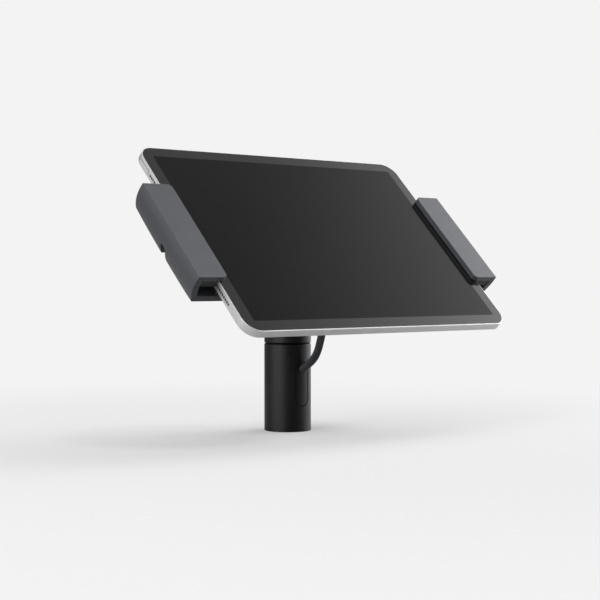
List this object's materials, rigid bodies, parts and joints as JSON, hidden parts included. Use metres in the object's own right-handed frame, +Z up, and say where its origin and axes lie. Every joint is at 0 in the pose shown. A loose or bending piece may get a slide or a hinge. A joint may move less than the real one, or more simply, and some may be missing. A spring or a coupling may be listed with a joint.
{
  "type": "tablet kiosk desk stand",
  "caption": "Round-post desk stand whose swivelling, tilting head grips a tablet by its side edges in geared sliding jaws, with a power cable from the post up to the head.",
  "frame": {"origin": "centre of the post's foot, on the desk", "axes": "+Z up along the post; the tablet faces -Y and up; +X to the right of a person who faces the screen"},
  "size_m": [0.2858, 0.1303, 0.2062],
  "materials": {
    "black_steel": "satin black powder coat",
    "black_aluminium": "satin black anodised",
    "slate": "slate grey anodised",
    "steel": "zinc plated",
    "acetal": "black bearing plastic",
    "black_plastic": "fine matte texture",
    "rubber": "soft matte",
    "silver": "fine bead blasted",
    "cover_glass": "gloss",
    "panel": "switched off",
    "cell": "wrapped cell",
    "board": "circuit board",
    "lens": "coated lens",
    "gear_brass": "machined",
    "braid": "dark slate braid over a soft cable"
  },
  "bodies": {
    "post": {"post_tube": "black_steel", "base_plug": "steel", "slot_cover": "black_plastic", "top_ring": "steel", "swivel_bush": "acetal", "stop_pin": "steel", "cable_in_post": "braid", "cable_lower": "braid"},
    "neck": {"swivel_head": "black_aluminium", "swivel_bolt": "steel", "swivel_washer": "steel", "swivel_springs": "steel", "tilt_bolt": "steel", "tilt_nut": "steel", "tilt_caps": "black_plastic", "tilt_washers": "acetal", "cable_upper": "braid"},
    "head": {"knuckle": "black_aluminium", "tilt_bush": "acetal", "flange_screws": "steel", "hub_housing": "black_aluminium", "hub_plate": "black_aluminium", "hub_pad": "rubber", "hub_screws": "steel", "cable_gland": "black_plastic", "pinion_pin": "steel", "lock_screw": "steel", "tablet_housing": "silver", "tablet_glass": "cover_glass", "tablet_display": "panel", "tablet_battery": "cell", "tablet_board": "board", "camera_ring": "silver", "camera_lens": "lens", "flash_lens": "lens"},
    "left_jaw": {"left_jaw": "slate", "left_front_pad": "rubber", "left_edge_blocks": "rubber", "left_back_blocks": "rubber", "left_arm": "black_steel", "left_arm_screws": "steel"},
    "right_jaw": {"right_jaw": "slate", "right_front_pad": "rubber", "right_edge_blocks": "rubber", "right_back_blocks": "rubber", "right_arm": "black_steel", "right_arm_screws": "steel"},
    "pinion": {"pinion": "gear_brass"},
    "power": {"power_button": "silver"},
    "volume_up": {"volume_up_button": "silver"},
    "volume_down": {"volume_down_button": "silver"}
  },
  "joints": [
    {"name": "swivel", "type": "hinge", "parent": "post", "child": "neck", "pos_m": [0, 0, 0.065], "axis": [0, 0, 1], "range_deg": [-90, 90], "deforming": ["cable_lower"]},
    {"name": "tilt", "type": "hinge", "parent": "neck", "child": "head", "pos_m": [0, 0, 0.0973], "axis": [1, 0, 0], "range_deg": [-30, 30], "deforming": ["cable_upper"]},
    {"name": "left_jaw_slide", "type": "slide", "parent": "head", "child": "left_jaw", "axis": [-1, 0, 0], "range_m": [0, 0.03]},
    {"name": "right_jaw_slide", "type": "slide", "parent": "head", "child": "right_jaw", "axis": [1, 0, 0], "range_m": [0, 0.03]},
    {"name": "pinion_spin", "type": "hinge", "parent": "head", "child": "pinion", "pos_m": [0, -0.03762, 0.13492], "axis": [0, -0.7071, 0.7071], "range_deg": [0, 246]},
    {"name": "power_button_press", "type": "slide", "parent": "head", "child": "power", "axis": [1, 0, 0], "range_m": [0, 0.00025], "stiffness_N_per_m": 2000, "springref_m": -0.0005},
    {"name": "volume_up_press", "type": "slide", "parent": "head", "child": "volume_up", "axis": [0, -0.7071, -0.7071], "range_m": [0, 0.00025], "stiffness_N_per_m": 2000, "springref_m": -0.0005},
    {"name": "volume_down_press", "type": "slide", "parent": "head", "child": "volume_down", "axis": [0, -0.7071, -0.7071], "range_m": [0, 0.00025], "stiffness_N_per_m": 2000, "springref_m": -0.0005}
  ],
  "couplings": [
    {"joint": "right_jaw_slide", "follows": "left_jaw_slide", "ratio": 1},
    {"joint": "pinion_spin", "follows": "left_jaw_slide", "rad_per_m": 142.86}
  ]
}
